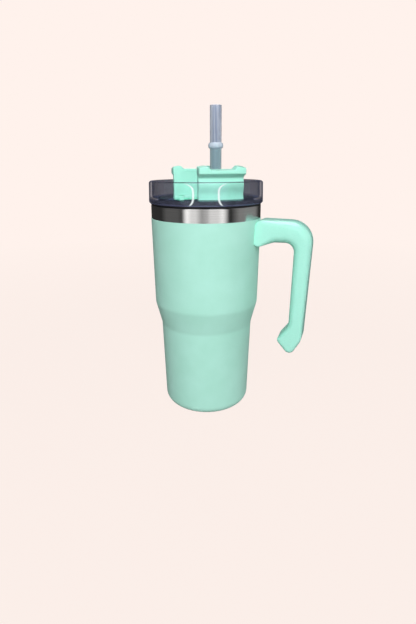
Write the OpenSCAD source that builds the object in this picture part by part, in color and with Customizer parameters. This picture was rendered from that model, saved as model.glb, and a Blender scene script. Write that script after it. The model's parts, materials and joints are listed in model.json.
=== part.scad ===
// Insulated travel mug: a steel vacuum tumbler with a side handle, and a clear
// lid that holds two standing flaps and a straw.
// Origin: centre of the base's underside. +Z is up, the handle points along +X.

/* [Mug body] */
// Radius of the upper body and of the bare steel band
top_r = 45; // [43:0.5:48]
// Radius just above the base's rounded corner
base_r = 36.6; // [35.2:0.2:37.8]
// Radius of the lower body, at the foot of the shoulder
lower_r = 38.9; // [37.9:0.2:39.9]
// Radius of the upper body, at the head of the shoulder
upper_r = 43.8; // [42.5:0.1:44.5]
// Height of the foot of the shoulder
shoulder_foot_z = 74; // [60:1:78]
// Height of the head of the shoulder
shoulder_head_z = 93; // [88:1:110]
// Height of the powder coat's top edge
coat_top_z = 164; // [158:1:166]
// Height of the rim
rim_z = 175; // [172:1:178]
// Radius of the rounded corner at the base
base_corner = 7; // [4:0.5:8]

/* [Handle] */
// Width of the handle, across the body
handle_w = 21; // [16:1:26]
// Underside of the handle's top arm
arm_low_z = 146.5; // [140:0.5:150]
// Reach of the handle's outer face at the top
handle_reach = 88.2; // [84:0.2:94]
// Width of the rounded edge all along the handle
handle_edge = 3; // [1:0.5:4]

/* [Lid] */
// Outer radius of the lid at its lower edge
lid_r = 46.3; // [45.6:0.1:48]
// Outer radius of the lid at its top edge
lid_top_r = 45.9; // [44.5:0.1:47]
// Height of the lid's top edge
lid_top_z = 193.2; // [188:0.2:200]
// Thickness of the lid's wall
lid_wall = 2.6; // [2:0.2:3.4]
// Direction of the front flap, seen from above and measured from the handle
flap_turn = -49.5; // [-90:0.5:0]

/* [Flaps] */
// Width of a flap
flap_w = 36.2; // [34:0.2:37.4]
// Distance from the lid's centre to each flap's hinge
hinge_u = 31.6; // [31.4:0.1:31.8]
// Height of a flap above its hinge, at its two horns
flap_h = 26.8; // [25.6:0.2:26.8]
// Depth of the notch between the horns
notch_h = 2.4; // [1:0.2:2.8]

/* [Straw] */
// Outer radius of the straw
straw_r = 4.6; // [4:0.1:4.8]
// Distance of the straw from the lid's centre, along the hinges
straw_v = 8.5; // [8:0.5:10]
// Height of the straw's top end
straw_top_z = 250; // [240:1:270]
// Height of the middle of the straw's stop ring
straw_ring_z = 220; // [212:1:228]

/* [Hidden] */
$fn = 96;
steps = 7;            // facets in each rounded corner
gap = 0.05;           // running clearance between pieces that move past each other
cut = 1;              // how far a cutter reaches past the face that it cuts

// wall of the tumbler, as depths below the coat's outer surface
coat_t = 0.25;
sheet_t = 0.7;
foil_t = 0.15;
liner_depth = 3.5;    // the liner's outer surface
liner_floor_z = 10;
liner_corner = 6;
shoulder_round = 14;
roll_r = 43;          // where the outer wall and the liner meet on the rim
roll_corner = 1.4;
foot_ring_r = 28;     // inner edge of the coated foot ring
bottom_z = 6;         // underside of the welded bottom
mouth_r = top_r - liner_depth - sheet_t;

// handle
root_x = top_r - 2.4;
handle_tip = [75.3, 53.1];
handle_hook = [63.6, 66.4];
core_inset = 3.2;
bracket_z = arm_low_z + 8.5;
bracket_h = 5;
bracket_w = 11;
pad_w = 15;
pad_h = 12;
tongue_l = 25;
screw_x = [59.5, 66];
screw_r = 1.5;
screw_head_r = 2.8;
screw_head_h = 2;
cap_low_z = arm_low_z + 0.4;    // the caps sit a little inside their holes
cap_h = 1.4;

// lid
seal_h = 0.7;
flange_z = rim_z + gap + seal_h;
flange_t = 4.4;
plug_low_z = coat_top_z + 0.6;
plug_out_r = mouth_r - 0.5;
plug_in_r = mouth_r - 1.8;
groove_z = 167.5;
groove_h = 3;
groove_depth = 0.5;
lid_floor_z = rim_z - 2.5;
lid_floor_t = 1.8;
plate_t = 1;
base_seal_t = 0.4;
plate_low_z = lid_floor_z + base_seal_t;
plate_u = 33.5;
plate_v = 17.5;

// hinges and ports
hinge_z = 178;
barrel_r = 2.3;
ear_r = 1.7;
pin_r = 0.75;
ear_w = 4;
ear_v = 11.5;
face_in = 1.6;        // a flap's inner face, behind its hinge axis
wave_mid = 1.8;
wave_amp = 0.5;
wave_len = 12;
lip_out = 5;
lip_low = 20.1;
lip_side = 0.4;       // how far the lip stands past the flap's sides
top_tilt = 12;        // the top slopes down outwards by this angle
horn_foot_v = 8.9;    // a horn rises from here
horn_in_v = 11.7;     // to here, and is level
horn_out_v = 14.2;    // to here
horn_fall = 0.9;      // and then falls by this much to the flap's side
panel_v = 10.6;       // recess in the inner face
panel_low = 3.5;
panel_top = 21.8;
panel_depth = 0.7;
port_from_hinge = 14;
port_v = 9;            // each port is beside its flap's middle
port_r = 6.6;
port_wall = 1.3;
port_top_z = hinge_z - face_in - 0.25;
stopper_r = 5.8;
stopper_h = 1.8;
grommet_r = 6.8;

// straw
straw_wall = 0.9;
straw_low_z = 12;
straw_ring_r = 6;
straw_ring_h = 4.6;

function xy(p) = [p[0], p[1]];
function unit(v) = v / norm(v);
function turn(a) = a > 180 ? a - 360 : a < -180 ? a + 360 : a;

// the corner at b, rounded to radius r
function corner(a, b, c, r) =
    let (u = unit(a - b), v = unit(c - b), half = acos(u * v) / 2,
         o = b + unit(u + v) * r / sin(half),
         p = b + u * r / tan(half) - o, q = b + v * r / tan(half) - o,
         from = atan2(p[1], p[0]), sweep = turn(atan2(q[1], q[0]) - from))
    [for (i = [0:steps]) o + r * [cos(from + sweep * i / steps), sin(from + sweep * i / steps)]];

// a closed outline and an open path, whose points are [x, y] or [x, y, radius]
function rounded(p) = let (n = len(p)) [for (i = [0:n - 1])
    each len(p[i]) < 3 ? [p[i]]
                       : corner(xy(p[(i + n - 1) % n]), xy(p[i]), xy(p[(i + 1) % n]), p[i][2])];
function rounded_path(p) = let (n = len(p)) [for (i = [0:n - 1])
    each len(p[i]) < 3 ? [p[i]] : corner(xy(p[i - 1]), xy(p[i]), xy(p[i + 1]), p[i][2])];
function reverse(p) = [for (i = [len(p) - 1:-1:0]) p[i]];

// the tumbler's side at a depth below its outer surface, from a start radius to a top height
function side(depth, start_r, low_z, round_r, high_z) = rounded_path([
    [start_r, low_z],
    [base_r - depth, low_z, round_r],
    [lower_r - depth, shoulder_foot_z, shoulder_round],
    [upper_r - depth, shoulder_head_z, shoulder_round],
    [top_r - depth, coat_top_z],
    [top_r - depth, high_z]]);

// flap outlines: the section across the hinge, the outline seen from the front, and what is cut
// away above the two horns and the notch
function wave(q) = wave_mid + wave_amp * cos(360 * q / wave_len);
function both_sides(half) = concat(half, [for (p = reverse(half)) [-p[0], p[1]]]);
inner_angle = 180 - acos(face_in / barrel_r);
flap_section = concat(
    [for (q = [0:1:lip_low - 2]) [wave(q), q]],
    rounded([[lip_out, lip_low + 0.6, 0.8], [lip_out, flap_h + cut], [-face_in, flap_h + cut]]),
    [for (i = [0:12]) barrel_r * [cos(inner_angle + (360 - inner_angle) * i / 12),
                                  sin(inner_angle + (360 - inner_angle) * i / 12)]]);
flap_front = both_sides([[flap_w / 2, -barrel_r - cut], [flap_w / 2, lip_low - 1],
                         [flap_w / 2 + lip_side, lip_low], [flap_w / 2 + lip_side, flap_h + 2 * cut]]);
top_outline = both_sides([[flap_w, 6], [flap_w / 2 + lip_side + cut, -horn_fall],
                          [horn_out_v, 0], [horn_in_v, 0], [horn_foot_v, -notch_h]]);

handle_outline = rounded([
    [root_x, coat_top_z, 7],
    [handle_reach, coat_top_z, 17.5],
    [83.9, 68, 14],
    [handle_tip[0], handle_tip[1], 4.5],
    [handle_hook[0], handle_hook[1], 3.5],
    [72.9, 79, 12],
    [74.2, arm_low_z, 7],
    [top_r + 13, arm_low_z, 10],
    [top_r + 1.5, arm_low_z - 3.8, 2.4],
    [root_x, arm_low_z - 2.2, 2]]);

module in_lid() rotate([0, 0, flap_turn]) children();
module at_hinge(side) in_lid() rotate([0, 0, side > 0 ? 0 : 180]) translate([hinge_u, 0, hinge_z]) children();
module along_v(length) rotate([-90, 0, 0]) linear_extrude(length, center = true) children();
module ring(r_in, r_out, low, high) {
    translate([0, 0, low]) rotate_extrude()
        translate([r_in, 0]) square([r_out - r_in, high - low]);
}
module body_solid(depth) {
    rotate_extrude()
        polygon(concat(side(depth, 0, 0, base_corner, rim_z), [[0, rim_z]]));
}

// ---- tumbler ----
module bracket_pad(clearance = 0) {
    translate([top_r - 3, -pad_w / 2 - clearance, bracket_z - pad_h / 2 - clearance])
        cube([5.2 + clearance, pad_w + 2 * clearance, pad_h + 2 * clearance]);
}

module powder_coat() {
    color("aquamarine") difference() {
        rotate_extrude() polygon(concat(
            side(0, foot_ring_r, 0, base_corner, coat_top_z),
            reverse(side(coat_t, foot_ring_r, coat_t, base_corner - coat_t, coat_top_z))));
        bracket_pad();
    }
}

module outer_wall() {
    inner = coat_t + sheet_t;
    color("silver") rotate_extrude() polygon(concat(
        rounded_path(concat(side(coat_t, foot_ring_r, coat_t, base_corner - coat_t, coat_top_z),
                            [[top_r - coat_t, rim_z, roll_corner], [roll_r, rim_z]])),
        reverse(rounded_path(concat(side(inner, foot_ring_r, inner, base_corner - inner, coat_top_z),
                                    [[top_r - inner, rim_z - sheet_t, roll_corner - sheet_t],
                                     [roll_r, rim_z - sheet_t]])))));
}

module inner_liner() {
    out = liner_depth;
    in = liner_depth + sheet_t;
    color("lightgray") rotate_extrude() polygon(concat(
        rounded_path([[0, liner_floor_z - sheet_t],
                      [base_r - out, liner_floor_z - sheet_t, liner_corner + sheet_t],
                      [lower_r - out, shoulder_foot_z, shoulder_round],
                      [upper_r - out, shoulder_head_z, shoulder_round],
                      [top_r - out, coat_top_z],
                      [top_r - out, rim_z - sheet_t, 0.5],
                      [roll_r, rim_z - sheet_t]]),
        reverse(rounded_path([[0, liner_floor_z],
                              [base_r - in, liner_floor_z, liner_corner],
                              [lower_r - in, shoulder_foot_z, shoulder_round],
                              [upper_r - in, shoulder_head_z, shoulder_round],
                              [top_r - in, coat_top_z],
                              [top_r - in, rim_z, 0.5 + sheet_t],
                              [roll_r, rim_z]]))));
}

module copper_foil() {
    low_z = 26;
    low_part = (low_z - liner_floor_z) / (shoulder_foot_z - liner_floor_z);
    low_r = base_r - liner_depth + (lower_r - base_r) * low_part + 0.1;
    high_r = top_r - liner_depth - 0.3;
    function face(out) = rounded_path([
        [low_r + out, low_z],
        [lower_r - liner_depth + out, shoulder_foot_z, shoulder_round],
        [upper_r - liner_depth + out, shoulder_head_z, shoulder_round],
        [high_r + out, coat_top_z - 18]]);
    color("peru") rotate_extrude() polygon(concat(face(gap + foil_t), reverse(face(gap))));
}

// gas-absorbing pill under the liner's floor
module getter() {
    getter_h = 1.2;
    color("dimgray") translate([12, 0, liner_floor_z - sheet_t - getter_h])
        cylinder(h = getter_h, r = 4.5);
}

module outer_bottom() {
    color("silver") rotate_extrude() polygon([
        [1.2, bottom_z - 0.9], [6, bottom_z - 0.9], [8, bottom_z],
        [base_r - coat_t - sheet_t, bottom_z], [base_r - coat_t - sheet_t, bottom_z + sheet_t],
        [7.6, bottom_z + sheet_t], [5.6, bottom_z - 0.9 + sheet_t], [1.2, bottom_z - 0.9 + sheet_t]]);
}

// bead that closes the evacuation hole
module vacuum_seal() {
    seal_low = bottom_z - 0.9;
    color("gray") {
        translate([0, 0, seal_low - 0.8]) cylinder(h = 0.8, r = 2.6);
        translate([0, 0, seal_low - 0.4]) cylinder(h = 0.4 + sheet_t, r = 1.2);
    }
}

module base_cover() {
    cover_r = foot_ring_r - gap;
    color("silver") rotate_extrude() polygon(concat(
        rounded_path([[0, 0], [cover_r, 0, 1.2], [cover_r, 3.2]]),
        [[cover_r - sheet_t, 3.2]],
        reverse(rounded_path([[0, sheet_t], [cover_r - sheet_t, sheet_t, 0.6], [cover_r - sheet_t, 3]]))));
}

// ---- handle ----
// a handle-shaped bar whose long edges are stepped round to handle_edge
module handle_bar(inset, width) {
    for (edge = [[1, 0], [0.55, 0.13], [0.22, 0.45], [0, 1]]) {
        half = width / 2 - edge[0] * handle_edge;
        translate([0, half, 0]) rotate([90, 0, 0]) linear_extrude(2 * half)
            offset(delta = -inset - edge[1] * handle_edge) polygon(handle_outline);
    }
}

module handle_core_space() {
    core_w = handle_w - 2 * core_inset;
    intersection() {
        translate([0, core_w / 2, 0]) rotate([90, 0, 0]) linear_extrude(core_w)
            offset(delta = -core_inset) polygon(handle_outline);
        translate([top_r + 4, -handle_w, 0]) cube([60, 2 * handle_w, 200]);
    }
}

module bracket_tongue(clearance = 0) {
    translate([top_r, -bracket_w / 2 - clearance, bracket_z - bracket_h / 2 - clearance])
        cube([tongue_l + clearance, bracket_w + 2 * clearance, bracket_h + 2 * clearance]);
}

module screw_holes(r, low, high) {
    for (x = screw_x) translate([x, 0, low]) cylinder(h = high - low, r = r);
}

module handle_bracket() {
    color("silver") difference() {
        union() {
            bracket_pad();
            bracket_tongue();
        }
        body_solid(coat_t);
        screw_holes(screw_r, bracket_z - bracket_h, bracket_z + bracket_h);
    }
}

module handle_core() {
    color("darkslategray") difference() {
        handle_core_space();
        bracket_pad();
        bracket_tongue();
        screw_holes(screw_r + 0.1, 0, bracket_z + bracket_h);
        screw_holes(screw_head_r, 0, cap_low_z + cap_h + screw_head_h);
    }
}

module handle_grip() {
    color("aquamarine") difference() {
        handle_bar(0, handle_w);
        body_solid(0);
        handle_core_space();
        bracket_pad();
        bracket_tongue();
        screw_holes(screw_head_r, arm_low_z - cut, arm_low_z + core_inset + cut);
    }
}

module handle_screws() {
    head_z = cap_low_z + cap_h;
    color("silver") difference() {
        union() {
            screw_holes(screw_r, head_z + screw_head_h - 0.1, bracket_z + bracket_h / 2);
            screw_holes(screw_head_r, head_z, head_z + screw_head_h);
        }
        for (x = screw_x) translate([x, 0, head_z - cut]) cylinder(h = cut + 1.2, r = 1.2, $fn = 6);
    }
}

module handle_screw_caps() {
    color("mediumaquamarine") screw_holes(screw_head_r, cap_low_z, cap_low_z + cap_h);
}

// ---- lid ----
module at_ports() for (s = [-1, 1]) in_lid()
    translate([s * (hinge_u - port_from_hinge), -s * port_v, 0]) children();
module at_straw() in_lid() translate([0, straw_v, 0]) children();

module lid_shell() {
    wall_in = lid_r - lid_wall;
    color("slategray", 0.5) difference() {
        rotate_extrude() polygon(concat(
            [[0, lid_floor_z - lid_floor_t], [plug_in_r, lid_floor_z - lid_floor_t],
             [plug_in_r, plug_low_z], [plug_out_r - 0.6, plug_low_z], [plug_out_r, plug_low_z + 1.2],
             [plug_out_r, groove_z], [plug_out_r - groove_depth, groove_z],
             [plug_out_r - groove_depth, groove_z + groove_h], [plug_out_r, groove_z + groove_h]],
            rounded_path([[plug_out_r, flange_z], [lid_r, flange_z, 1.6], [lid_top_r, lid_top_z, 2],
                          [lid_top_r - lid_wall, lid_top_z, 0.4],
                          [wall_in, flange_z + flange_t, 1.6], [plug_in_r, flange_z + flange_t, 0.9],
                          [plug_in_r, lid_floor_z]]),
            [[0, lid_floor_z]]));
        at_ports() translate([0, 0, lid_floor_z - lid_floor_t - cut])
            cylinder(h = lid_floor_t + 2 * cut, r = port_r);
        at_straw() translate([0, 0, lid_floor_z - lid_floor_t - cut])
            cylinder(h = lid_floor_t + 2 * cut, r = grommet_r);
    }
}

module rim_seal() {
    color("black") ring(plug_out_r, top_r - 0.2, rim_z + gap, flange_z);
}

module plug_seal() {
    seal_in = plug_out_r - groove_depth;
    seal_out = mouth_r - gap;
    color("lightgray") rotate_extrude() polygon([
        [seal_in, groove_z], [plug_out_r, groove_z], [seal_out, groove_z + 0.5],
        [plug_out_r, groove_z + 1.3], [plug_out_r, groove_z + 1.7], [seal_out, groove_z + 2.5],
        [plug_out_r, groove_z + groove_h], [seal_in, groove_z + groove_h]]);
}

// the plate's outline, cut to the lid's round floor
module plate_shape(low, height, inset = 0) {
    in_lid() intersection() {
        translate([-plate_u + inset, -plate_v + inset, low])
            cube([2 * (plate_u - inset), 2 * (plate_v - inset), height]);
        translate([0, 0, low]) cylinder(h = height, r = plug_in_r - 1.2 - inset);
    }
}

module hinge_base() {
    top = plate_low_z + plate_t;
    color("aquamarine") difference() {
        union() {
            plate_shape(plate_low_z, plate_t);
            at_ports() translate([0, 0, plate_low_z])
                cylinder(h = port_top_z - plate_low_z, r = port_r + port_wall);
            at_straw() translate([0, 0, plate_low_z]) cylinder(h = plate_t + 0.6, r = grommet_r + 1.4);
            for (s = [-1, 1], v = [-ear_v, ear_v]) at_hinge(s) translate([0, v, 0]) {
                along_v(ear_w) circle(r = ear_r);
                translate([-ear_r, -ear_w / 2, top - hinge_z - 0.1])
                    cube([2 * ear_r, ear_w, hinge_z - top + 0.1]);
            }
        }
        at_ports() translate([0, 0, plate_low_z - cut]) cylinder(h = 10, r = port_r);
        at_straw() translate([0, 0, plate_low_z - cut]) cylinder(h = 10, r = grommet_r);
        for (s = [-1, 1]) at_hinge(s) along_v(flap_w) circle(r = pin_r);
    }
}

module hinge_base_seal() {
    color("white") difference() {
        plate_shape(lid_floor_z, base_seal_t, 0.8);
        at_ports() translate([0, 0, lid_floor_z - cut]) cylinder(h = 10, r = port_r);
        at_straw() translate([0, 0, lid_floor_z - cut]) cylinder(h = 10, r = grommet_r);
    }
}

module straw_grommet() {
    low = lid_floor_z - lid_floor_t;
    top = plate_low_z + plate_t + 0.6;
    color("whitesmoke") at_straw() difference() {
        union() {
            translate([0, 0, low - 1]) cylinder(h = 1, r = grommet_r + 1.2);
            translate([0, 0, low]) cylinder(h = top - low, r = grommet_r);
            translate([0, 0, top]) cylinder(h = 0.5, r = grommet_r + 1.2);
        }
        translate([0, 0, low - 1 - cut]) cylinder(h = 12, r = straw_r + gap);
    }
}

// room for an ear at every angle between open and closed
module ear_pocket() {
    room = ear_r + 0.1;
    w = ear_w + 0.3;
    along_v(w) circle(r = room);
    translate([-barrel_r - cut, -w / 2, -room]) cube([barrel_r + cut, w, 2 * room]);
    translate([-room, -w / 2, -barrel_r - cut]) cube([2 * room, w, barrel_r + cut]);
    translate([-barrel_r - cut, -w / 2, -barrel_r - cut]) cube([barrel_r + cut, w, barrel_r + cut]);
}

// a slab across a flap, with an outline seen from the front
module slab(outline, depth) rotate([90, 0, 90]) linear_extrude(depth) polygon(outline);

module flap() {
    difference() {
        intersection() {
            translate([0, flap_w, 0]) rotate([90, 0, 0]) linear_extrude(2 * flap_w)
                polygon(flap_section);
            translate([-lip_out, 0, 0]) slab(flap_front, 3 * lip_out);
        }
        translate([-face_in, 0, flap_h]) rotate([0, top_tilt, 0]) translate([-cut, 0, 0])
            slab(top_outline, 3 * lip_out);
        along_v(flap_w + 2 * cut) circle(r = pin_r + gap);
        for (v = [-ear_v, ear_v]) translate([0, v, 0]) ear_pocket();
        translate([-face_in - cut, -panel_v, panel_low])
            cube([cut + panel_depth, 2 * panel_v, panel_top - panel_low]);
        at_stopper() translate([0, 0, -panel_depth]) cylinder(h = panel_depth + cut, r = stopper_r + gap);
    }
}

module front_flap() { color("aquamarine") at_hinge(1) flap(); }
module back_flap() { color("aquamarine") at_hinge(-1) flap(); }

module hinge_pin() { along_v(flap_w - 1) circle(r = pin_r); }
module front_hinge_pin() { color("silver") at_hinge(1) hinge_pin(); }
module back_hinge_pin() { color("silver") at_hinge(-1) hinge_pin(); }

// soft stopper in a seat on a flap's inner face, which closes the port under it
module at_stopper() translate([-face_in, -port_v, port_from_hinge]) rotate([0, -90, 0]) children();
module stopper() {
    at_stopper() {
        translate([0, 0, -panel_depth]) cylinder(h = panel_depth + stopper_h - 0.5, r = stopper_r);
        translate([0, 0, stopper_h - 0.5]) cylinder(h = 0.5, r1 = stopper_r, r2 = stopper_r - 0.5);
    }
}
module front_stopper() { color("whitesmoke") at_hinge(1) stopper(); }
module back_stopper() { color("whitesmoke") at_hinge(-1) stopper(); }

// ---- straw ----
module straw() {
    half = straw_ring_h / 2;
    ring_out = straw_ring_r - straw_r;
    color("lightsteelblue", 0.6) at_straw() rotate_extrude() polygon(concat(
        [[straw_r - straw_wall, straw_low_z], [straw_r, straw_low_z]],
        [for (i = [0:10]) let (a = 180 * i / 10) [straw_r + ring_out * sin(a),
                                                 straw_ring_z - half * cos(a)]],
        [[straw_r, straw_top_z], [straw_r - straw_wall, straw_top_z]]));
}

powder_coat();
outer_wall();
inner_liner();
copper_foil();
getter();
outer_bottom();
vacuum_seal();
base_cover();
handle_bracket();
handle_core();
handle_grip();
handle_screws();
handle_screw_caps();
lid_shell();
rim_seal();
plug_seal();
hinge_base();
hinge_base_seal();
straw_grommet();
front_flap();
back_flap();
front_hinge_pin();
back_hinge_pin();
front_stopper();
back_stopper();
straw();
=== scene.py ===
"""Looks of the insulated travel mug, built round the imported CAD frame. Lengths are in metres."""
import math

import bmesh
import bpy
from mathutils import Matrix, Vector
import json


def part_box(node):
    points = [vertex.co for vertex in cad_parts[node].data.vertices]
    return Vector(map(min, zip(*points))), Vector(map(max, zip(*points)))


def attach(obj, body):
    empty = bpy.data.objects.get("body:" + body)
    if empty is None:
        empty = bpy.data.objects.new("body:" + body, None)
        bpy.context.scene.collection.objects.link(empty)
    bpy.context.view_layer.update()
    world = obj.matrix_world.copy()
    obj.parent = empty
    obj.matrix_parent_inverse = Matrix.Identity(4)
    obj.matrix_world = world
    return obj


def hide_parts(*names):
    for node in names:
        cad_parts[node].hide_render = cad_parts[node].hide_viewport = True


MM = 0.001
CUTTER_SIDES = 48

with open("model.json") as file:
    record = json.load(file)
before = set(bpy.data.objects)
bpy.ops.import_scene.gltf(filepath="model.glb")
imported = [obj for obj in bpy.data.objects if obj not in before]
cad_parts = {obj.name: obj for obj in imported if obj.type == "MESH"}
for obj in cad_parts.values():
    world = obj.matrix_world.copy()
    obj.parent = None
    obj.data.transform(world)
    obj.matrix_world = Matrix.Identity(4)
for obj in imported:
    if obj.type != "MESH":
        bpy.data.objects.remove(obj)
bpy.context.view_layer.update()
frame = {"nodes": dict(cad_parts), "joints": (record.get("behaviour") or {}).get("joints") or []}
nodes = frame["nodes"]
joints = {joint["name"]: joint for joint in frame["joints"]}
lid_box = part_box("lid_shell")
coat_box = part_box("powder_coat")
grip_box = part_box("handle_grip")
straw_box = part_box("straw")


# ---------------------------------------------------------------- mesh helpers

def corner(a, b, c, radius, steps):
    """Points of the corner at b, rounded to the radius."""
    a, b, c = Vector(a[:2]), Vector(b[:2]), Vector(c[:2])
    u, v = (a - b).normalized(), (c - b).normalized()
    half = math.acos(max(-1, min(1, u.dot(v)))) / 2
    centre = b + (u + v).normalized() * radius / math.sin(half)
    first, last = b + u * radius / math.tan(half) - centre, b + v * radius / math.tan(half) - centre
    start = math.atan2(first.y, first.x)
    sweep = (math.atan2(last.y, last.x) - start + math.pi) % (2 * math.pi) - math.pi
    turns = [start + sweep * i / steps for i in range(steps + 1)]
    return [centre + radius * Vector((math.cos(turn), math.sin(turn))) for turn in turns]


def rounded(points, steps):
    """A closed outline whose points are (x, y), or (x, y, radius) at a rounded corner."""
    out = []
    for i, p in enumerate(points):
        if len(p) == 3:
            out += corner(points[i - 1], p, points[(i + 1) % len(points)], p[2], steps)
        else:
            out.append(Vector(p))
    return out


def shade(mesh, angle):
    """Smooth shading, with the edges sharper than the angle kept crisp."""
    for face in mesh.polygons:
        face.use_smooth = True
    mesh.set_sharp_from_angle(angle=math.radians(angle))


def make_object(name, bm, angle=35):
    """A new object from a bmesh."""
    bmesh.ops.recalc_face_normals(bm, faces=bm.faces)
    mesh = bpy.data.meshes.new(name)
    bm.to_mesh(mesh)
    bm.free()
    shade(mesh, angle)
    obj = bpy.data.objects.new(name, mesh)
    bpy.context.scene.collection.objects.link(obj)
    return obj


def prism(name, outline, half_width, to_3d):
    """A closed prism: the outline's points at both ends of the width, placed by to_3d(a, b, t)."""
    bm = bmesh.new()
    ends = [[bm.verts.new(to_3d(p[0], p[1], t)) for p in outline] for t in (-half_width, half_width)]
    count = len(outline)
    bm.faces.new(ends[0])
    bm.faces.new(list(reversed(ends[1])))
    for i in range(count):
        j = (i + 1) % count
        bm.faces.new((ends[0][j], ends[0][i], ends[1][i], ends[1][j]))
    return make_object(name, bm)


def lathe(name, profile, centre, segments, angle):
    """A closed profile of (radius, height) points turned about a vertical axis."""
    bm = bmesh.new()
    rings = []
    for i in range(segments):
        a = 2 * math.pi * i / segments
        rings.append([bm.verts.new((centre[0] + r * math.cos(a), centre[1] + r * math.sin(a), z))
                      for r, z in profile])
    for i in range(segments):
        here, after = rings[i], rings[(i + 1) % segments]
        for k in range(len(profile)):
            m = (k + 1) % len(profile)
            bm.faces.new((here[k], after[k], after[m], here[m]))
    return make_object(name, bm, angle)


def apply_modifiers(obj, angle=35):
    """Replaces the mesh with the result of the object's modifiers."""
    graph = bpy.context.evaluated_depsgraph_get()
    mesh = bpy.data.meshes.new_from_object(obj.evaluated_get(graph))
    obj.modifiers.clear()
    obj.data = mesh
    shade(mesh, angle)


def boolean(obj, tool, operation):
    """Cuts with a tool object, or keeps what is inside it. The tool is then removed."""
    modifier = obj.modifiers.new("cut", "BOOLEAN")
    modifier.operation = operation
    modifier.object = tool
    modifier.solver = "EXACT"
    apply_modifiers(obj)
    bpy.data.objects.remove(tool)


def bevel(obj, width, segments, limit, angle):
    """Rounds every edge sharper than the limit."""
    modifier = obj.modifiers.new("round", "BEVEL")
    modifier.width = width
    modifier.segments = segments
    modifier.limit_method = "ANGLE"
    modifier.angle_limit = math.radians(limit)
    modifier.use_clamp_overlap = False
    modifier.miter_outer = "MITER_ARC"
    apply_modifiers(obj, angle)


def block(name, low, high):
    """A box used only as a cutter."""
    outline = [(low[0], low[2]), (high[0], low[2]), (high[0], high[2]), (low[0], high[2])]
    middle, half = (low[1] + high[1]) / 2, (high[1] - low[1]) / 2
    return prism(name, outline, half, lambda x, z, t: (x, middle + t, z))


def circle(radius, centre=(0, 0)):
    """The outline of a round cutter."""
    turns = [2 * math.pi * i / CUTTER_SIDES for i in range(CUTTER_SIDES)]
    return [(centre[0] + radius * math.cos(a), centre[1] + radius * math.sin(a)) for a in turns]


def post(name, radius, centre, low, high):
    """An upright cylinder used only as a cutter."""
    middle, half = (low + high) / 2, (high - low) / 2
    return prism(name, circle(radius, centre), half, lambda x, y, t: (x, y, middle + t))


def rod(name, radius, centre_v, half_width):
    """A cylinder along Y used only as a cutter."""
    return prism(name, circle(radius), half_width, lambda x, z, t: (x, centre_v + t, z))


# ---------------------------------------------------------------- material helpers

def add(tree, kind, inputs=None, **settings):
    """A shader node, with its settings and its inputs' values or links."""
    made = tree.nodes.new(kind)
    for key, value in settings.items():
        setattr(made, key, value)
    for key, value in (inputs or {}).items():
        if isinstance(value, bpy.types.NodeSocket):
            tree.links.new(value, made.inputs[key])
        else:
            made.inputs[key].default_value = value
    return made


def blank_material(name):
    material = bpy.data.materials.new(name)
    material.use_nodes = True
    material.node_tree.nodes.clear()
    return material, material.node_tree


def finish_material(tree, shader):
    add(tree, "ShaderNodeOutputMaterial", {"Surface": shader})


def linear(red, green, blue):
    """A colour from its 0 to 255 screen values."""
    def one(c):
        c /= 255
        return c / 12.92 if c <= 0.04045 else ((c + 0.055) / 1.055) ** 2.4
    return (one(red), one(green), one(blue), 1)


def object_place(tree):
    return add(tree, "ShaderNodeTexCoord").outputs["Object"]


def noise(tree, scale, detail, stretch=(1, 1, 1)):
    """Noise in object space, whose grain is about 1/scale metres."""
    where = object_place(tree)
    where = add(tree, "ShaderNodeMapping", {"Vector": where, "Scale": stretch}).outputs["Vector"]
    return add(tree, "ShaderNodeTexNoise", {
        "Vector": where, "Scale": scale, "Detail": detail}).outputs["Fac"]


def remap(tree, value, low, high, from_low=0.0, from_high=1.0):
    return add(tree, "ShaderNodeMapRange", {"Value": value, "From Min": from_low, "From Max": from_high,
                                            "To Min": low, "To Max": high}).outputs["Result"]


def blend_colour(tree, share, first, second):
    return add(tree, "ShaderNodeMix", {0: share, 6: first, 7: second}, data_type="RGBA").outputs[2]


def maths(tree, operation, first, second=0.0):
    return add(tree, "ShaderNodeMath", {0: first, 1: second}, operation=operation).outputs[0]


def vector_maths(tree, operation, inputs):
    return add(tree, "ShaderNodeVectorMath", inputs, operation=operation)


def mix_shader(tree, share, first, second):
    return add(tree, "ShaderNodeMixShader", {0: share, 1: first, 2: second}).outputs[0]


def bump(tree, height, strength, distance):
    return add(tree, "ShaderNodeBump", {"Height": height, "Strength": strength,
                                        "Distance": distance}).outputs["Normal"]


# ---------------------------------------------------------------- materials

def powder_coat_material():
    """Satin mint powder coat: fine grain, faint mottling and a slow orange-peel wave."""
    material, tree = blank_material("mint_powder_coat")
    mottle = noise(tree, 55, 4)
    grain = noise(tree, 2600, 2)
    peel = noise(tree, 420, 2)
    mottle = remap(tree, mottle, 0, 1, 0.3, 0.7)
    base = blend_colour(tree, mottle, linear(171, 228, 211), linear(179, 234, 219))
    base = blend_colour(tree, remap(tree, grain, 0, 0.12, 0.55, 0.8), base, linear(215, 250, 240))
    height = maths(tree, "ADD", maths(tree, "MULTIPLY", grain, 0.35), peel)
    shader = add(tree, "ShaderNodeBsdfPrincipled", {
        "Base Color": base, "Roughness": remap(tree, grain, 0.40, 0.55), "Specular IOR Level": 0.45,
        "Sheen Weight": 0.08, "Sheen Roughness": 0.6, "Normal": bump(tree, height, 0.25, 0.06 * MM)})
    finish_material(tree, shader.outputs[0])
    return material


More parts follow.
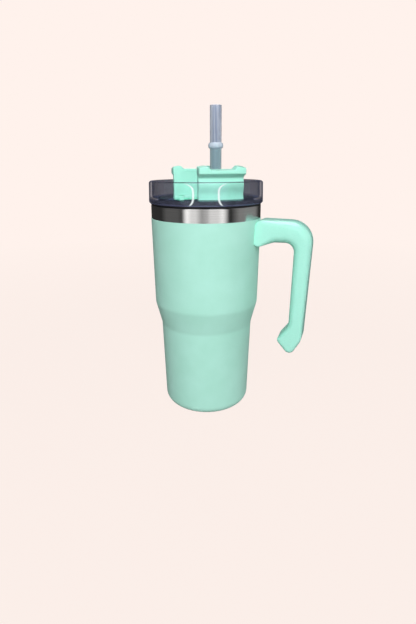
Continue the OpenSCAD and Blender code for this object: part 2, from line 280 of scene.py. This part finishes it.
def moulded_material(name, colour, light, roughness, grain_scale):
    """Moulded plastic: fine spark-eroded texture and faint flow mottling."""
    material, tree = blank_material(name)
    flow = noise(tree, 38, 3, stretch=(1, 1, 0.4))
    grain = noise(tree, grain_scale, 2)
    base = blend_colour(tree, remap(tree, flow, 0, 1, 0.3, 0.7), colour, light)
    shader = add(tree, "ShaderNodeBsdfPrincipled", {
        "Base Color": base, "Roughness": remap(tree, grain, roughness - 0.05, roughness + 0.08),
        "Specular IOR Level": 0.5, "Subsurface Weight": 0.10, "Subsurface Radius": (0.6, 1.0, 0.9),
        "Subsurface Scale": 1.2 * MM, "Normal": bump(tree, grain, 0.16, 0.04 * MM)})
    finish_material(tree, shader.outputs[0])
    return material


def brushed_steel_material(name, shade_of, roughness):
    """Steel brushed round the mug's axis: fine level lines, with a few deeper ones."""
    material, tree = blank_material(name)
    lines = noise(tree, 260, 3, stretch=(0.10, 0.10, 14))
    fine = noise(tree, 900, 2, stretch=(0.25, 0.25, 5))
    cloud = noise(tree, 70, 3)
    value = remap(tree, lines, 0.88, 1.08, 0.25, 0.75)
    base = vector_maths(tree, "SCALE", {0: shade_of[:3], "Scale": value}).outputs[0]
    rough = maths(tree, "ADD", remap(tree, fine, roughness - 0.05, roughness + 0.07),
                  remap(tree, cloud, -0.02, 0.03))
    tangent = add(tree, "ShaderNodeTangent", direction_type="RADIAL", axis="Z").outputs[0]
    height = maths(tree, "ADD", lines, maths(tree, "MULTIPLY", fine, 0.5))
    shader = add(tree, "ShaderNodeBsdfPrincipled", {
        "Base Color": base, "Metallic": 1.0, "Roughness": rough, "Anisotropic": 0.75,
        "Anisotropic Rotation": 0.25, "Tangent": tangent, "Normal": bump(tree, height, 0.12, 0.03 * MM)})
    finish_material(tree, shader.outputs[0])
    return material


def plain_metal_material(name, colour, roughness, grain_scale):
    """Bare metal with a fine grain and slight tarnish."""
    material, tree = blank_material(name)
    grain = noise(tree, grain_scale, 3)
    tarnish = noise(tree, 160, 3)
    base = blend_colour(tree, remap(tree, tarnish, 0, 0.35, 0.35, 0.75), colour,
                        (colour[0] * 0.6, colour[1] * 0.55, colour[2] * 0.5, 1))
    shader = add(tree, "ShaderNodeBsdfPrincipled", {
        "Base Color": base, "Metallic": 1.0,
        "Roughness": remap(tree, grain, roughness - 0.06, roughness + 0.1),
        "Normal": bump(tree, grain, 0.15, 0.03 * MM)})
    finish_material(tree, shader.outputs[0])
    return material


def rubber_material(name, colour, clearness, roughness):
    """Silicone: soft, faintly cloudy, and partly clear where clearness is above 0."""
    material, tree = blank_material(name)
    cloud = noise(tree, 180, 3)
    grain = noise(tree, 1500, 2)
    base = blend_colour(tree, remap(tree, cloud, 0, 0.25, 0.3, 0.7), colour,
                        (colour[0] * 0.8, colour[1] * 0.8, colour[2] * 0.82, 1))
    shader = add(tree, "ShaderNodeBsdfPrincipled", {
        "Base Color": base, "Roughness": remap(tree, grain, roughness - 0.05, roughness + 0.08),
        "Transmission Weight": clearness, "IOR": 1.41, "Subsurface Weight": 0.15,
        "Subsurface Scale": 0.8 * MM, "Normal": bump(tree, grain, 0.1, 0.03 * MM)})
    finish_material(tree, shader.outputs[0])
    return material


def wall_highlights(tree, sideways, height):
    """Two slim curved highlights on the clear wall, one on each side of the line to the viewer.
    Sideways is the sine of the angle from that line, and height runs from -1 to 1 up the wall. They
    bend outwards at both ends, more at the top, and fade there."""
    bend = maths(tree, "POWER", maths(tree, "ABSOLUTE", height), 4)
    bend = maths(tree, "MULTIPLY", bend, remap(tree, height, 0.07, 0.17, -1.0, 1.0))
    away = maths(tree, "SUBTRACT", maths(tree, "ABSOLUTE", sideways), maths(tree, "ADD", bend, 0.228))
    line = remap(tree, maths(tree, "ABSOLUTE", away), 1.0, 0.0, 0.008, 0.026)
    fade = remap(tree, maths(tree, "ABSOLUTE", height), 1.0, 0.0, 0.85, 1.02)
    return maths(tree, "MULTIPLY", line, fade)


def smoke_clear_material():
    """Clear smoke-tinted plastic. A wall that faces the viewer lets nearly everything through, the
    floor, the flange and the far wall read as dark smoke, and edge-on walls turn blue-violet."""
    material, tree = blank_material("smoke_clear")
    geometry = add(tree, "ShaderNodeNewGeometry")
    incoming = geometry.outputs["Incoming"]
    out = vector_maths(tree, "MULTIPLY", {0: geometry.outputs["Position"], 1: (1, 1, 0)}).outputs[0]
    out = vector_maths(tree, "NORMALIZE", {0: out}).outputs[0]
    towards = vector_maths(tree, "DOT_PRODUCT", {0: out, 1: incoming}).outputs["Value"]
    across = vector_maths(tree, "CROSS_PRODUCT", {0: out, 1: incoming}).outputs[0]
    sideways = add(tree, "ShaderNodeSeparateXYZ", {0: across}).outputs["Z"]
    place = add(tree, "ShaderNodeSeparateXYZ", {0: object_place(tree)})
    up = add(tree, "ShaderNodeSeparateXYZ", {0: geometry.outputs["Normal"]}).outputs["Z"]
    ray = add(tree, "ShaderNodeLightPath")
    lit = maths(tree, "SUBTRACT", 1.0, ray.outputs["Is Shadow Ray"])
    top = lid_box[1].z
    # a painted sheen draws a paler line along the wall's lower edge, and all below the flange's top reads
    # as thick plastic
    edge_top, edge_low = top - 16.2 * MM, top - 16.7 * MM
    flange_top, flange_low = top - 12.9 * MM, top - 13.9 * MM
    far = remap(tree, towards, 1.0, 0.0, -0.15, 0.30)
    level = remap(tree, maths(tree, "ABSOLUTE", up), 0.0, 1.0, 0.55, 0.9)
    flange = remap(tree, place.outputs["Z"], 1.0, 0.0, flange_low, flange_top)
    thick = maths(tree, "MULTIPLY", maths(tree, "MAXIMUM", level, flange), lit)
    dark = maths(tree, "MAXIMUM", maths(tree, "MULTIPLY", far, lit), thick)
    facing = add(tree, "ShaderNodeLayerWeight", {"Blend": 0.5}).outputs["Facing"]
    edge = remap(tree, facing, 0.0, 1.0, 0.70, 0.97)
    cloud = remap(tree, noise(tree, 90, 3), 0.9, 1.1)
    streaks = noise(tree, 420, 3, stretch=(1, 1, 2.5))
    film = blend_colour(tree, dark, linear(252, 254, 254), linear(178, 179, 188))
    film = vector_maths(tree, "SCALE", {0: film, "Scale": cloud}).outputs[0]
    clear = add(tree, "ShaderNodeBsdfTransparent", {"Color": film}).outputs[0]
    upright = maths(tree, "SUBTRACT", 1.0, level)
    streaks = maths(tree, "MULTIPLY", remap(tree, streaks, 0.0, 0.6, 0.35, 0.75), upright)
    smoke = blend_colour(tree, streaks, linear(50, 50, 60), linear(90, 95, 116))
    # painted sheen: a paler blue-violet line along the wall's lower edge
    rim = remap(tree, place.outputs["Z"], 1.0, 0.0, edge_low, edge_top)
    smoke = blend_colour(tree, maths(tree, "MULTIPLY", rim, upright), smoke, linear(118, 122, 158))
    smoke = blend_colour(tree, edge, smoke, linear(106, 112, 146))
    body = add(tree, "ShaderNodeBsdfDiffuse", {"Color": smoke}).outputs[0]
    share = maths(tree, "MULTIPLY", dark, 0.25)
    share = maths(tree, "MAXIMUM", share, maths(tree, "MULTIPLY", edge, 0.85))
    share = maths(tree, "MAXIMUM", share, maths(tree, "MULTIPLY", thick, 0.72))
    share = maths(tree, "MULTIPLY", share, lit)
    inside = mix_shader(tree, share, clear, body)
    haze = remap(tree, noise(tree, 600, 2), 0.03, 0.09)
    gloss = add(tree, "ShaderNodeBsdfGlossy", {
        "Color": linear(218, 228, 255), "Roughness": haze}).outputs[0]
    mirrored = maths(tree, "MULTIPLY", remap(tree, maths(tree, "POWER", facing, 5), 0.035, 0.65), lit)
    surface = mix_shader(tree, mirrored, inside, gloss)
    height = remap(tree, place.outputs["Z"], -1.0, 1.0, edge_low, top - 0.7 * MM)
    height.node.clamp = False
    near = maths(tree, "GREATER_THAN", towards, 0.0)
    near = maths(tree, "SUBTRACT", near, maths(tree, "MAXIMUM", level, geometry.outputs["Backfacing"]))
    near = maths(tree, "MAXIMUM", near, 0.0)
    # painted highlights: two curved lines drawn on the wall as a glow that only the camera sees, not
    # reflections of a lamp
    painted_highlight = maths(tree, "MULTIPLY", wall_highlights(tree, sideways, height), near)
    painted_highlight = maths(tree, "MULTIPLY", painted_highlight, ray.outputs["Is Camera Ray"])
    glow = add(tree, "ShaderNodeEmission", {"Color": linear(244, 254, 254), "Strength": 1.0}).outputs[0]
    share = maths(tree, "MULTIPLY", painted_highlight, 0.9)
    finish_material(tree, mix_shader(tree, share, surface, glow))
    return material


def straw_material(ring_z):
    """Translucent grey-blue plastic with the faint lengthwise lines of an extruded tube; their pale
    stripes also serve as painted streak highlights.
    """
    material, tree = blank_material("straw_translucent")
    lines = noise(tree, 900, 2, stretch=(1, 1, 0.02))
    cloud = noise(tree, 60, 3)
    # the pale stripes are partly the tube's extrusion lines and partly painted streak highlights
    lines_and_painted_highlights = remap(tree, lines, 0, 1, 0.38, 0.62)
    tint = blend_colour(tree, lines_and_painted_highlights, linear(182, 192, 212), linear(230, 236, 246))
    tint = blend_colour(tree, remap(tree, cloud, 0, 0.2, 0.3, 0.7), tint, linear(190, 206, 214))
    place = add(tree, "ShaderNodeSeparateXYZ", {0: object_place(tree)})
    # painted reflection: below the ring the straw is tinted greener, standing in for the mint parts round
    # it
    below = remap(tree, place.outputs["Z"], 0.75, 0.0, ring_z - 3 * MM, ring_z)
    tint = blend_colour(tree, below, tint, linear(178, 208, 214))
    from_ring = maths(tree, "ABSOLUTE", maths(tree, "SUBTRACT", place.outputs["Z"], ring_z))
    ring = remap(tree, from_ring, 0.8, 0.0, 2.2 * MM, 2.6 * MM)
    tint = blend_colour(tree, ring, tint, linear(226, 240, 252))
    clear = add(tree, "ShaderNodeBsdfTransparent", {"Color": tint}).outputs[0]
    body = add(tree, "ShaderNodeBsdfPrincipled", {
        "Base Color": tint, "Roughness": 0.14, "Specular IOR Level": 0.7,
        "Normal": bump(tree, lines, 0.2, 0.05 * MM)}).outputs[0]
    edge = add(tree, "ShaderNodeLayerWeight", {"Blend": 0.5}).outputs["Facing"]
    share = remap(tree, edge, 0.40, 0.92, 0.1, 0.8)
    share = maths(tree, "MAXIMUM", share, maths(tree, "MULTIPLY", ring, 0.85))
    finish_material(tree, mix_shader(tree, share, clear, body))
    return material


def pale_floor_material():
    """Pale cream card: the camera sees it near the backdrop's colour, with a soft shadow."""
    material, tree = blank_material("pale_floor")
    fibre = noise(tree, 240, 4)
    fibre = remap(tree, fibre, 0, 0.15, 0.3, 0.7)
    cream = blend_colour(tree, fibre, linear(190, 184, 180), linear(184, 178, 174))
    ray = add(tree, "ShaderNodeLightPath")
    cream = blend_colour(tree, ray.outputs["Is Diffuse Ray"], cream, linear(132, 128, 124))
    diffuse = add(tree, "ShaderNodeBsdfDiffuse", {"Color": cream}).outputs[0]
    glow = add(tree, "ShaderNodeEmission", {"Color": linear(255, 242, 236), "Strength": 1.0}).outputs[0]
    away = vector_maths(tree, "LENGTH", {0: object_place(tree)}).outputs["Value"]
    fading = remap(tree, away, 0.94, 1.0, 0.25, 0.9)
    share = maths(tree, "MULTIPLY", ray.outputs["Is Camera Ray"], fading)
    card = mix_shader(tree, share, diffuse, glow)
    nothing = add(tree, "ShaderNodeBsdfTransparent").outputs[0]
    mirrored = ray.outputs["Is Glossy Ray"]
    finish_material(tree, mix_shader(tree, mirrored, card, nothing))
    return material


def set_material(obj, material):
    obj.data.materials.clear()
    obj.data.materials.append(material)


# ---------------------------------------------------------------- handle

CAP_GAP = 0.05                # round a screw cap, in mm, as are the handle's other sizes
ARM_DEPTH = 17.5
ROOT_DEPTH = 2.4              # how far the arm's root goes in past the coat


def handle_rounding(x, z):
    """The radius of the handle's long edges, in mm: most at the arm, less at the hook and at the
    arm's root, and least at the two small corners under the root."""
    full = max(0, min(1, (x - 50) / 10, (z - 72) / 14))
    arm = max(0, min(1, (x - 52) / 12, (z - 138) / 8))
    small = max(0, min(1, (52 - x) / 4)) * max(0, min(1, (151 - z) / 4))
    return 3.0 + 2.0 * full + 1.8 * arm - 1.4 * small


def rounded_bar(name, outline, half, steps=8):
    """A bar whose outline, in mm and clockwise, has its two long edges rounded by handle_rounding."""
    count = len(outline)
    ways = [(outline[(i + 1) % count] - outline[i]).normalized() for i in range(count)]
    spots = []
    for i, p in enumerate(outline):
        way = (ways[i - 1] + ways[i]).normalized()
        spots.append((p, Vector((way.y, -way.x)), handle_rounding(p.x, p.y)))
    bm = bmesh.new()
    rings = []
    for side, turns in ((-1, range(steps + 1)), (1, range(steps, -1, -1))):
        for turn in turns:
            a = math.pi / 2 * turn / steps
            ring = []
            for p, inward, radius in spots:
                q = p + inward * radius * (1 - math.sin(a))
                y = side * (half - radius * (1 - math.cos(a)))
                ring.append(bm.verts.new((q.x * MM, y * MM, q.y * MM)))
            rings.append(ring)
    bm.faces.new(rings[0])
    bm.faces.new(list(reversed(rings[-1])))
    for here, after in zip(rings, rings[1:]):
        for i in range(count):
            j = (i + 1) % count
            bm.faces.new((here[j], here[i], after[i], after[j]))
    return make_object(name, bm, 60)


def make_handle():
    """The moulded handle: a level arm, a leg that leans in, and a hooked free end."""
    top = grip_box[1].z / MM
    half = grip_box[1].y / MM
    arm_low = top - ARM_DEPTH
    root = coat_box[1].x / MM - ROOT_DEPTH
    # x, z and corner radius: out along the arm's top, down the leg, round the hook and back
    outline = rounded([
        (root, top, 7), (88.2, top, 17.5), (83.9, 68, 14), (75.3, 53.1, 4.5), (63.6, 66.4, 3.5),
        (72.9, 79, 12), (74.2, arm_low, 7), (root + 15.4, arm_low, 10), (root + 3.9, arm_low - 3.8, 2.4),
        (root, arm_low - 2.2, 2)], steps=12)
    handle = rounded_bar("handle_moulding", outline, half)
    low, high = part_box("handle_screw_caps")
    cap_r = (high.y - low.y) / 2
    for x in (low.x + cap_r, high.x - cap_r):
        hole = post("screw_hole", cap_r + CAP_GAP * MM, (x, 0), low.z - 3 * MM, high.z)
        boolean(handle, hole, "DIFFERENCE")
    shade(handle.data, 60)
    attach(handle, "mug")
    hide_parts("handle_grip")
    return handle


# ---------------------------------------------------------------- flaps

FLAP_HEIGHT = 26.8            # above the hinge, in mm, as are the flap's other sizes
FLAP_HALF = 18.1
FLAP_BEHIND = 1.6             # inner face, behind the hinge's axis
LIP_LOW, LIP_OUT, LIP_SIDE = 20.1, 5.0, 0.4
TOP_TILT = 12                 # the top slopes down outwards, in degrees
SEAT = (-9.0, 14.0, 5.85)     # the stopper's seat: place across, height and radius
CUT_HALF = 2.0                # half the length of the seat's cutter
SEAT_DEPTH = 0.7              # below the inner face's plane, to the seat's floor
PANEL_HALF, PANEL_LOW, PANEL_TOP = 10.6, 3.5, 21.8
PANEL_DEPTH = 0.3             # recess in the inner face
BARREL_R = 2.3
WAVE_OUT, WAVE_DEPTH, WAVE_LENGTH = 1.8, 0.5, 12
EAR_PLACE, EAR_HALF, EAR_R = 11.5, 2.15, 1.8
STEM_REACH = 3.3              # room for the ear's stem, behind and below the hinge's axis
PIN_BORE_R = 0.8


def flap_section():
    """The flap's section across its hinge: barrel, waved outer face, lip and inner face."""
    heights = [0.5 * i for i in range(37)]
    wave = [(WAVE_OUT + WAVE_DEPTH * math.cos(2 * math.pi * q / WAVE_LENGTH), q) for q in heights]
    lip = rounded([wave[-1], (LIP_OUT, LIP_LOW + 0.6, 0.8), (LIP_OUT, FLAP_HEIGHT + 1),
                   (-FLAP_BEHIND, FLAP_HEIGHT + 1)], 6)[1:]
    start = math.pi - math.acos(FLAP_BEHIND / BARREL_R)
    turns = [start + (2 * math.pi - start) * i / 24 for i in range(24)]
    barrel = [(BARREL_R * math.cos(a), BARREL_R * math.sin(a)) for a in turns]
    return wave + [tuple(p) for p in lip] + barrel


def both_sides(half):
    return half + [(-v, q) for v, q in reversed(half)]


def flap_front():
    """The flap's outline seen from the front: a straight wall with a slightly wider lip."""
    edge = FLAP_HALF + LIP_SIDE
    return both_sides([(FLAP_HALF, -4), (FLAP_HALF, LIP_LOW - 1), (edge, LIP_LOW),
                       (edge, FLAP_HEIGHT + 3)])


def flap_top():
    """What is cut away above the two horns and the notch, measured from the horns' top."""
    return both_sides([(2 * FLAP_HALF, 6), (FLAP_HALF + 1.5, -0.9), (14.2, 0), (11.7, 0), (8.9, -2.4)])


def make_flap(side):
    """One flap, standing open: built at its hinge, then carried there by the joint's place and axis."""
    joint = joints[side + "_flap_hinge"]
    flap = prism(side + "_flap_moulding", [(p * MM, q * MM) for p, q in flap_section()],
                 (FLAP_HALF + 3) * MM, lambda p, q, t: (p, t, q))
    front = [(v * MM, q * MM) for v, q in flap_front()]
    front = prism("front_cut", front, 20 * MM, lambda v, q, t: (t, v, q))
    boolean(flap, front, "INTERSECT")
    tilt = math.radians(TOP_TILT)
    top = [(v * MM, q * MM) for v, q in flap_top()]
    top = prism("top_cut", top, 20 * MM, lambda v, q, t: (
        t * math.cos(tilt) + q * math.sin(tilt) - FLAP_BEHIND * MM, v,
        q * math.cos(tilt) - t * math.sin(tilt) + FLAP_HEIGHT * MM))
    boolean(flap, top, "DIFFERENCE")
    bevel(flap, 0.7 * MM, 4, limit=32, angle=40)
    panel = block("panel", (-4 * MM, -PANEL_HALF * MM, PANEL_LOW * MM),
                  (-(FLAP_BEHIND - PANEL_DEPTH) * MM, PANEL_HALF * MM, PANEL_TOP * MM))
    boolean(flap, panel, "DIFFERENCE")
    seat_v, seat_q, seat_r = (size * MM for size in SEAT)
    seat_x = SEAT_DEPTH - FLAP_BEHIND - CUT_HALF
    seat = prism("seat", circle(seat_r, (seat_v, seat_q)), CUT_HALF * MM,
                 lambda v, q, t: (t + seat_x * MM, v, q))
    boolean(flap, seat, "DIFFERENCE")
    for v in (-EAR_PLACE, EAR_PLACE):
        low_v, high_v = (v - EAR_HALF) * MM, (v + EAR_HALF) * MM
        rooms = [rod("ear_room", EAR_R * MM, v * MM, EAR_HALF * MM),
                 block("stem_room", (-STEM_REACH * MM, low_v, -STEM_REACH * MM), (EAR_R * MM, high_v, 0)),
                 block("closed_room", (-STEM_REACH * MM, low_v, -0.5 * MM), (0, high_v, EAR_R * MM))]
        for room in rooms:
            boolean(flap, room, "DIFFERENCE")
    boolean(flap, rod("pin_bore", PIN_BORE_R * MM, 0, (FLAP_HALF + 1) * MM), "DIFFERENCE")
    across = -Vector(joint["axis"]).normalized()
    outward = across.cross(Vector((0, 0, 1)))
    place = Matrix((outward, across, (0, 0, 1))).transposed().to_4x4()
    place.translation = Vector(joint["pos_m"])
    flap.data.transform(place)
    shade(flap.data, 40)
    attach(flap, side + "_flap")
    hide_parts(side + "_flap")
    return flap


# ---------------------------------------------------------------- straw

RING_DROP = 30 * MM           # from the straw's top to the middle of its ring
RING_HALF = 2.3 * MM
RING_DEPTH = 1.4 * MM         # how far the ring stands out from the tube
BORE_DEPTH = 2.3 * MM         # from the ring's outside to the bore
TUBE_LIP = 0.25 * MM          # rounding of the tube's ends


def make_straw():
    """The straw: a tube with softly rounded ends and a moulded stop ring."""
    low, high = straw_box
    centre = ((low.x + high.x) / 2, (low.y + high.y) / 2)
    ring_r = (high.x - low.x) / 2
    out_r, in_r = ring_r - RING_DEPTH, ring_r - BORE_DEPTH
    ring_z = high.z - RING_DROP
    ring = [(out_r + (ring_r - out_r) * math.sin(a), ring_z - RING_HALF * math.cos(a))
            for a in [math.pi * i / 20 for i in range(1, 20)]]
    lip = TUBE_LIP
    profile = [(in_r, low.z + lip), (in_r + lip, low.z), (out_r - lip, low.z), (out_r, low.z + lip)]
    profile += [(out_r, ring_z - RING_HALF)] + ring + [(out_r, ring_z + RING_HALF)]
    profile += [(out_r, high.z - lip), (out_r - lip, high.z), (in_r + lip, high.z), (in_r, high.z - lip)]
    straw = lathe("straw_tube", profile, centre, 64, 40)
    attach(straw, "straw")
    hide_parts("straw")
    return straw


# ---------------------------------------------------------------- stage, light and camera

FLOOR_Z = -0.0002             # just under the mug, so that the two faces don't meet
LIGHT_AIM_Z = 0.12            # the height that every light looks at


def make_floor():
    bm = bmesh.new()
    bmesh.ops.create_grid(bm, x_segments=8, y_segments=8, size=6)
    floor = make_object("floor", bm)
    floor.location.z = FLOOR_Z
    set_material(floor, pale_floor_material())


def area_light(name, direction, elevation, distance, size, power):
    """A soft white light that looks at the mug. Direction is measured from +X, in degrees."""
    data = bpy.data.lights.new(name, "AREA")
    data.shape = "RECTANGLE"
    data.size, data.size_y = size
    data.energy = power
    obj = bpy.data.objects.new(name, data)
    obj.visible_glossy = False
    bpy.context.scene.collection.objects.link(obj)
    a, e = math.radians(direction), math.radians(elevation)
    obj.location = Vector((math.cos(a) * math.cos(e), math.sin(a) * math.cos(e), math.sin(e))) * distance
    obj.location.z += LIGHT_AIM_Z
    aim = Vector((0, 0, LIGHT_AIM_Z)) - obj.location
    obj.rotation_euler = aim.to_track_quat("-Z", "Y").to_euler()


CAMERA_AZIMUTH = -70          # from the handle's direction, in degrees
CAMERA_DISTANCE = 0.339       # from the mug's axis
CAMERA_HEIGHT = 0.204
CAMERA_PITCH = 15.6
CAMERA_ROLL = -0.25
SENSOR_WIDTH = 36
LENS = 35.2
SHIFT = (0.004, -0.077)


def make_camera():
    data = bpy.data.cameras.new("camera")
    data.sensor_fit = "HORIZONTAL"
    data.sensor_width = SENSOR_WIDTH
    data.lens = LENS
    data.shift_x, data.shift_y = SHIFT
    data.clip_start = 0.01
    camera = bpy.data.objects.new("camera", data)
    bpy.context.scene.collection.objects.link(camera)
    a = math.radians(CAMERA_AZIMUTH)
    turn = Matrix.Rotation(a + math.pi / 2, 4, "Z")
    tip = Matrix.Rotation(math.pi / 2 - math.radians(CAMERA_PITCH), 4, "X")
    roll = Matrix.Rotation(math.radians(CAMERA_ROLL), 4, "Z")
    x, y = CAMERA_DISTANCE * math.cos(a), CAMERA_DISTANCE * math.sin(a)
    place = Matrix.Translation((x, y, CAMERA_HEIGHT))
    camera.matrix_world = place @ turn @ tip @ roll
    bpy.context.scene.camera = camera


ROOM_DIM = 0.035              # how bright the dark gaps are
# what shiny surfaces mirror: direction from the camera's side, half width and soft edge in
# degrees, and brightness of each softbox or grey card
ROOM_CARDS = [
    (-29.5, 14.5, 5, 0.95),
    (-40, 6, 4, 0.40),
    (-8, 7, 4, 0.42),
    (20.5, 19.5, 7, 0.90),
    (36, 7, 5, 0.35),
    (-74, 22, 8, 0.09),
    (96, 34, 10, 0.24),
]
# the card behind the mug: degrees from the camera's side where it starts and is full, the sines of
# two elevations, and its brightness at each of them
ROOM_REAR = (170, 173, 0.12, 0.32, 0.2, 0.8)
# the softbox overhead: sines of the elevations where it starts and is full, and its brightness
ROOM_OVERHEAD = (0.86, 0.94, 7)


def background(tree, colour, strength):
    return add(tree, "ShaderNodeBackground", {"Color": colour, "Strength": strength}).outputs[0]


def make_world():
    """Cream backdrop; reflections see a room of softboxes and grey cards with dark gaps instead."""
    world = bpy.data.worlds.new("studio")
    bpy.context.scene.world = world
    world.use_nodes = True
    tree = world.node_tree
    tree.nodes.clear()
    backdrop = background(tree, linear(255, 242, 236), 1.0)
    where = add(tree, "ShaderNodeTexCoord").outputs["Generated"]
    angles = add(tree, "ShaderNodeSeparateXYZ", {0: where})
    azimuth = maths(tree, "ARCTAN2", angles.outputs["Y"], angles.outputs["X"])
    turned = maths(tree, "SUBTRACT", maths(tree, "DEGREES", azimuth), CAMERA_AZIMUTH)
    turned = maths(tree, "WRAP", turned, 180)
    turned.node.inputs[2].default_value = -180
    glow = ROOM_DIM
    for direction, half_width, soft_edge, level in ROOM_CARDS:
        off_centre = maths(tree, "ABSOLUTE", maths(tree, "SUBTRACT", turned, direction))
        card = remap(tree, off_centre, level, 0.0, half_width - soft_edge, half_width + soft_edge)
        glow = maths(tree, "ADD", card, glow)
    start, full, low, high, dim, bright = ROOM_REAR
    behind = remap(tree, maths(tree, "ABSOLUTE", turned), 0.0, 1.0, start, full)
    behind = maths(tree, "MULTIPLY", behind, remap(tree, angles.outputs["Z"], dim, bright, low, high))
    glow = maths(tree, "ADD", glow, behind)
    edge, full, level = ROOM_OVERHEAD
    glow = maths(tree, "ADD", glow, remap(tree, angles.outputs["Z"], 0.0, level, edge, full))
    room = background(tree, linear(255, 253, 251), glow)
    soft = background(tree, linear(250, 250, 250), 0.12)
    ray = add(tree, "ShaderNodeLightPath")
    seen = mix_shader(tree, ray.outputs["Is Glossy Ray"], soft, room)
    whole = mix_shader(tree, ray.outputs["Is Camera Ray"], seen, backdrop)
    add(tree, "ShaderNodeOutputWorld", {"Surface": whole})


# ---------------------------------------------------------------- the scene

for extra in ("Cube", "Light", "Camera"):
    if extra in bpy.data.objects:
        bpy.data.objects.remove(bpy.data.objects[extra])

mint_handle = moulded_material("mint_handle_plastic", linear(168, 236, 218), linear(176, 242, 225),
                               0.27, 1500)
mint_flap = moulded_material("mint_flap_plastic", linear(170, 241, 221), linear(177, 247, 228),
                             0.30, 1900)
steel = brushed_steel_material("brushed_steel_band", (0.685, 0.685, 0.685), 0.14)
liner_steel = brushed_steel_material("liner_steel", (0.56, 0.56, 0.56), 0.34)
fastener = plain_metal_material("fastener_steel", (0.55, 0.55, 0.57, 1), 0.30, 900)
silicone = rubber_material("clear_silicone", linear(222, 228, 228), 0.25, 0.42)

NODE_MATERIALS = {
    "powder_coat": powder_coat_material(),
    "outer_wall": steel,
    "base_cover": steel,
    "inner_liner": liner_steel,
    "outer_bottom": liner_steel,
    "copper_foil": plain_metal_material("copper_foil", (0.80, 0.42, 0.26, 1), 0.28, 500),
    "getter": plain_metal_material("getter_metal", (0.20, 0.20, 0.22, 1), 0.60, 1800),
    "vacuum_seal": plain_metal_material("solder", (0.50, 0.50, 0.52, 1), 0.45, 1200),
    "handle_bracket": fastener,
    "handle_screws": fastener,
    "front_hinge_pin": fastener,
    "back_hinge_pin": fastener,
    "handle_core": moulded_material("core_nylon", linear(48, 62, 62), linear(58, 72, 72), 0.55, 900),
    "handle_screw_caps": rubber_material("mint_rubber", linear(140, 216, 190), 0.0, 0.6),
    "lid_shell": smoke_clear_material(),
    "rim_seal": rubber_material("dark_rubber", linear(26, 26, 30), 0.0, 0.55),
    "plug_seal": silicone,
    "hinge_base": mint_flap,
    "hinge_base_seal": silicone,
    "straw_grommet": silicone,
    "front_stopper": silicone,
    "back_stopper": silicone,
}
for node_name, node_material in NODE_MATERIALS.items():
    set_material(nodes[node_name], node_material)

set_material(make_handle(), mint_handle)
for flap_side in ("front", "back"):
    set_material(make_flap(flap_side), mint_flap)
set_material(make_straw(), straw_material(straw_box[1].z - RING_DROP))

make_floor()
area_light("key", CAMERA_AZIMUTH, 31, 1.2, (0.8, 0.7), 14.8)
area_light("front_fill", CAMERA_AZIMUTH + 10, 5, 1.3, (0.5, 0.4), 1.2)
area_light("left_fill", CAMERA_AZIMUTH - 95, 10, 1.3, (0.6, 0.8), 1.5)
area_light("right_fill", CAMERA_AZIMUTH + 100, 10, 1.3, (0.6, 0.8), 3)
area_light("back", CAMERA_AZIMUTH + 180, 12, 1.3, (1.0, 0.8), 8)
make_world()
make_camera()
bpy.context.scene.view_settings.view_transform = "Standard"
